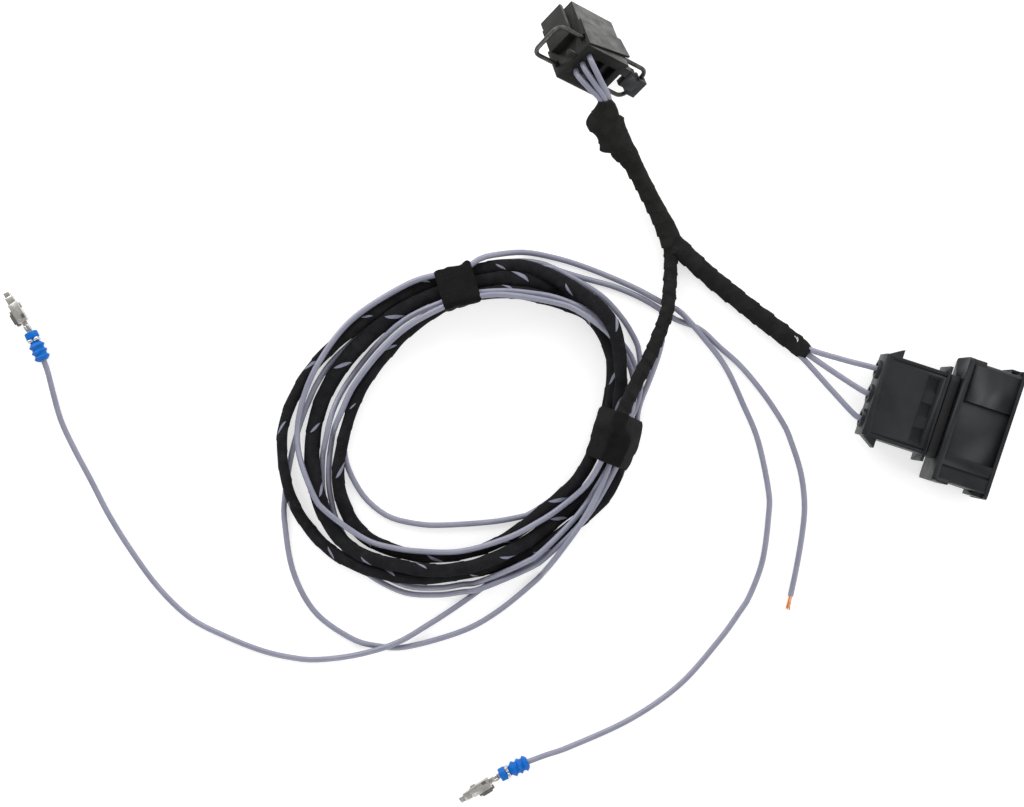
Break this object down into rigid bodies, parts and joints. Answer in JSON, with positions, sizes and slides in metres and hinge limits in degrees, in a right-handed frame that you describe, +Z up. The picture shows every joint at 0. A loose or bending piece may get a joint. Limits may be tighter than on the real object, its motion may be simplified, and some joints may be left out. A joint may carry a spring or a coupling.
{
  "type": "wiring harness",
  "caption": "Coiled vehicle wiring harness: socket connector with wire bail, shrouded plug, cloth-taped branches, tied grey wires with sealed terminals",
  "frame": {"origin": "Centre of the bounding box on the table plane that the harness lies on.", "axes": "+X is the long side of the laid-out harness, from the left terminal towards the plug; +Y runs across the table towards the socket connector; +Z is up from the table."},
  "size_m": [0.3359, 0.2623, 0.0349],
  "materials": {
    "cloth_tape": "matt black woven cloth tape",
    "wire_insulation": "smooth bluish grey wire insulation, semi-gloss",
    "black_plastic": "fine satin moulded plastic",
    "grey_plastic": "fine satin moulded plastic, dark grey",
    "black_rubber": "matt rubber ring",
    "blue_seal": "smooth blue silicone rubber",
    "tinned_metal": "stamped and tinned sheet metal",
    "bare_copper": "bare stranded copper, slightly dulled",
    "spring_steel": "drawn spring wire with a dark coating"
  },
  "bodies": {
    "root": {"socket_housing": "grey_plastic", "socket_bail": "spring_steel", "socket_bail_clip": "black_plastic", "socket_contact_1": "tinned_metal", "socket_contact_2": "tinned_metal", "socket_contact_3": "tinned_metal", "socket_lead_1": "wire_insulation", "socket_lead_2": "wire_insulation", "socket_lead_3": "wire_insulation", "plug_carrier": "black_plastic", "plug_gasket": "black_rubber", "plug_housing": "black_plastic", "plug_contact_1": "tinned_metal", "plug_contact_2": "tinned_metal", "plug_contact_3": "tinned_metal", "plug_wire_seal_1": "blue_seal", "plug_wire_seal_2": "blue_seal", "plug_wire_seal_3": "blue_seal", "plug_lead_1": "wire_insulation", "plug_lead_2": "wire_insulation", "plug_lead_3": "wire_insulation", "trunk_tape": "cloth_tape", "plug_branch_tape": "cloth_tape", "coil_branch_tape": "cloth_tape", "coil_sleeve": "cloth_tape", "coil_tie_top": "cloth_tape", "coil_tie_right": "cloth_tape", "wire_to_bare_end": "wire_insulation", "wire_to_lower_terminal": "wire_insulation", "wire_to_left_terminal": "wire_insulation", "lower_wire_seal": "blue_seal", "lower_terminal": "tinned_metal", "left_wire_seal": "blue_seal", "left_terminal": "tinned_metal", "bare_copper_strands": "bare_copper"}
  },
  "joints": []
}
